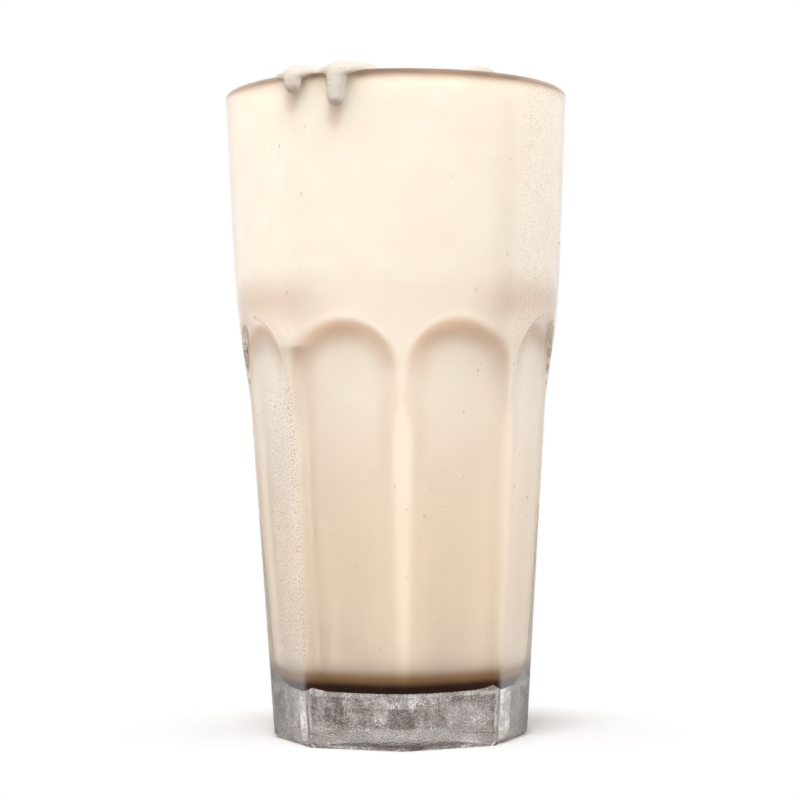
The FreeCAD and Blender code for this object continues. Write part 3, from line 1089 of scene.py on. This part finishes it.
@dataclass
class Droplets:
    """Small beads of water scattered over the outside of the cold glass."""

    count: int = 320
    group: int = 16
    small: float = 0.16
    large: float = 0.42
    rare: int = 4
    low: float = 3.0
    high: float = 155.0
    flatness: float = 0.5
    sunk: float = 0.25
    beside: float = 0.6
    above: float = 0.4
    round_steps: int = 8
    high_steps: int = 6

    def add(self, bm: bmesh.types.BMesh, glass: CoolerGlass, draw: random.Random) -> None:
        """Add one bead at a drawn place.

        Args:
            bm: the mesh that gets it.
            glass: the glass whose outside it sits on.
            draw: the seeded source of the place and the size.
        """
        degrees = draw.uniform(-180, 180)
        z = draw.uniform(self.low, self.high)
        size = self.small + (self.large - self.small) * draw.random() ** self.rare
        foot = polar(glass.outside_at(degrees, z), degrees, z)
        turned, raised = degrees + self.beside, z + self.above
        beside = polar(glass.outside_at(turned, z), turned, z)
        above = polar(glass.outside_at(degrees, raised), degrees, raised)
        normal = (beside - foot).cross(above - foot).normalized()
        place = (
            Matrix.Translation(foot - normal * size * self.sunk * self.flatness * MM)
            @ normal.to_track_quat("Z", "Y").to_matrix().to_4x4()
            @ Matrix.Diagonal((1.0, 1.0, self.flatness, 1.0))
        )
        bmesh.ops.create_uvsphere(bm, u_segments=self.round_steps,
                                  v_segments=self.high_steps, radius=size * MM, matrix=place)

    def build(self, glass: CoolerGlass) -> bpy.types.Object:
        """Scatter the beads.

        Args:
            glass: the glass whose outside they sit on.

        Returns:
            All the beads as one piece.
        """
        draw = random.Random(SEED)
        whole = bmesh.new()
        group = bpy.data.meshes.new("bead_group")
        for _ in range(self.count // self.group):
            bm = bmesh.new()
            for _ in range(self.group):
                self.add(bm, glass, draw)
            bm.to_mesh(group)
            bm.free()
            whole.from_mesh(group)
        bpy.data.meshes.remove(group)
        for face in whole.faces:
            face.smooth = True
        piece = new_object("droplets", whole)
        piece.data.materials.append(WaterBead().make())
        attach(piece, "root")
        return piece


# ---- the studio ----
@dataclass
class Studio:
    """White sweep, soft light and the camera."""

    camera_distance: float = 563.0
    camera_height: float = 70.8
    camera_azimuth: float = -1.3
    aim_up: float = 1.311
    aim_side: float = 0.046
    roll: float = -0.49
    lens: float = 101.25
    sensor: float = 36.0
    floor_half: float = 3.0
    front: FrontShade = FrontShade()
    open_white: Triple = (1.0, 1.0, 1.0)
    air: Triple = (0.67, 0.67, 0.67)
    inner: Triple = (0.3, 0.24, 0.18)
    inner_back: Triple = (1.0, 0.95, 0.9)
    inner_side: Triple = (4.4, 4.17, 3.86)
    inner_key: Triple = (30.5, 29.2, 27.3)
    back_from: float = -0.25
    back_to: float = 0.25
    side_from: float = 0.55
    side_to: float = 0.9
    key_toward: Triple = (0.0, -0.45, 0.89)
    key_half: float = 22.0
    key_soft: float = 5.0
    key_place: Triple = (-0.1, -0.5, 0.45)
    key_aim: Triple = (0.0, 0.0, 0.09)
    key_size: Pair = (0.4, 0.3)
    key_watts: float = 1.9

    def floor(self) -> bpy.types.Object:
        """The paper the glass stands on."""
        bm = bmesh.new()
        bmesh.ops.create_grid(bm, x_segments=2, y_segments=2, size=self.floor_half)
        piece = new_object("paper_floor", bm)
        piece.data.materials.append(StudioPaper().make(self.front))
        return piece

    def camera(self) -> None:
        """Set the camera up in front of the glass."""
        data = bpy.data.cameras.new("camera")
        data.lens = self.lens
        data.sensor_width = self.sensor
        data.clip_start = 0.01
        data.clip_end = 50.0
        camera = bpy.data.objects.new("camera", data)
        bpy.context.scene.collection.objects.link(camera)
        turn = math.radians(self.camera_azimuth)
        place = polar(self.camera_distance, self.camera_azimuth, self.camera_height)
        camera.matrix_world = (
            Matrix.Translation(place)
            @ Matrix.Rotation(turn - math.radians(self.aim_side), 4, "Z")
            @ Matrix.Rotation(math.radians(90 + self.aim_up), 4, "X")
            @ Matrix.Rotation(math.radians(self.roll), 4, "Z")
        )
        bpy.context.scene.camera = camera

    def world(self) -> None:
        """Surroundings that differ by what the light has met.

        The camera sees white, and the glass mirrors and bends white with a dark
        half in front.  Light that has met the cream and leaves through the glass
        finds a warm dim studio, brighter behind and beside, with a strong soft
        box over the front.  All other light is even.
        """
        world = bpy.data.worlds.new("studio")
        bpy.context.scene.world = world
        world.use_nodes = True
        tree = world.node_tree
        tree.nodes.clear()
        coords = add_node(tree, "ShaderNodeTexCoord")
        path = add_node(tree, "ShaderNodeLightPath")
        white = self.front.add(tree, coords.outputs["Generated"])
        bounced = calc(tree, "GREATER_THAN", path.outputs["Diffuse Depth"], HALF)
        through = calc(tree, "MAXIMUM", path.outputs["Is Glossy Ray"],
                       path.outputs["Is Transmission Ray"])
        inside = calc(tree, "MULTIPLY", through, bounced)
        seen = add_node(tree, "ShaderNodeMath", {"operation": "SUBTRACT", "use_clamp": True},
                        {0: through, 1: bounced})
        parts = add_node(tree, "ShaderNodeSeparateXYZ", None,
                         {"Vector": coords.outputs["Generated"]})
        behind = fade(tree, parts.outputs["Y"], self.back_from, self.back_to)
        beside = fade(tree, calc(tree, "ABSOLUTE", parts.outputs["X"]),
                      self.side_from, self.side_to)
        toward = add_node(tree, "ShaderNodeVectorMath", {
            "operation": "DOT_PRODUCT", 1: Vector(self.key_toward).normalized(),
        }, {0: coords.outputs["Generated"]})
        box = fade(tree, toward.outputs["Value"],
                   math.cos(math.radians(self.key_half + self.key_soft)),
                   math.cos(math.radians(self.key_half - self.key_soft)))
        soft = blend(tree, behind, self.inner, self.inner_back)
        soft = blend(tree, beside, soft, self.inner_side)
        glow = blend(tree, box, soft, self.inner_key)
        light = blend(tree, inside, self.air, glow)
        looked = blend(tree, seen.outputs["Value"], light, white)
        shown = blend(tree, path.outputs["Is Camera Ray"], looked, self.open_white)
        background = add_node(tree, "ShaderNodeBackground", {"Strength": 1.0},
                              {"Color": shown})
        add_node(tree, "ShaderNodeOutputWorld", None, {"Surface": background.outputs["Background"]})

    def lamp(self) -> None:
        """Add the soft box, which the glass doesn't mirror."""
        data = bpy.data.lights.new("top_box", "AREA")
        data.shape = "RECTANGLE"
        data.size, data.size_y = self.key_size
        data.energy = self.key_watts
        lamp = bpy.data.objects.new("top_box", data)
        bpy.context.scene.collection.objects.link(lamp)
        lamp.visible_glossy = False
        lamp.location = self.key_place
        lamp.rotation_mode = "QUATERNION"
        toward = Vector(self.key_aim) - Vector(self.key_place)
        lamp.rotation_quaternion = toward.to_track_quat("-Z", "Y")

    def build(self) -> None:
        """Set up everything that isn't the object."""
        self.floor()
        self.camera()
        self.world()
        self.lamp()
        bpy.context.scene.view_settings.view_transform = "Standard"


def main() -> None:
    """Build and dress every piece in order."""
    logging.basicConfig(level=logging.INFO, format="%(message)s", stream=sys.stdout)
    cooler = CoolerGlass()
    glass = cooler.build()
    LOG.info("glass_body: %d faces", len(glass.data.polygons))
    drink = Milkshake().build(glass)
    LOG.info("milkshake_body: %d faces", len(drink.data.polygons))
    beads = Droplets().build(cooler)
    LOG.info("droplets: %d faces", len(beads.data.polygons))
    Studio().build()


if __name__ == "__main__":
    main()
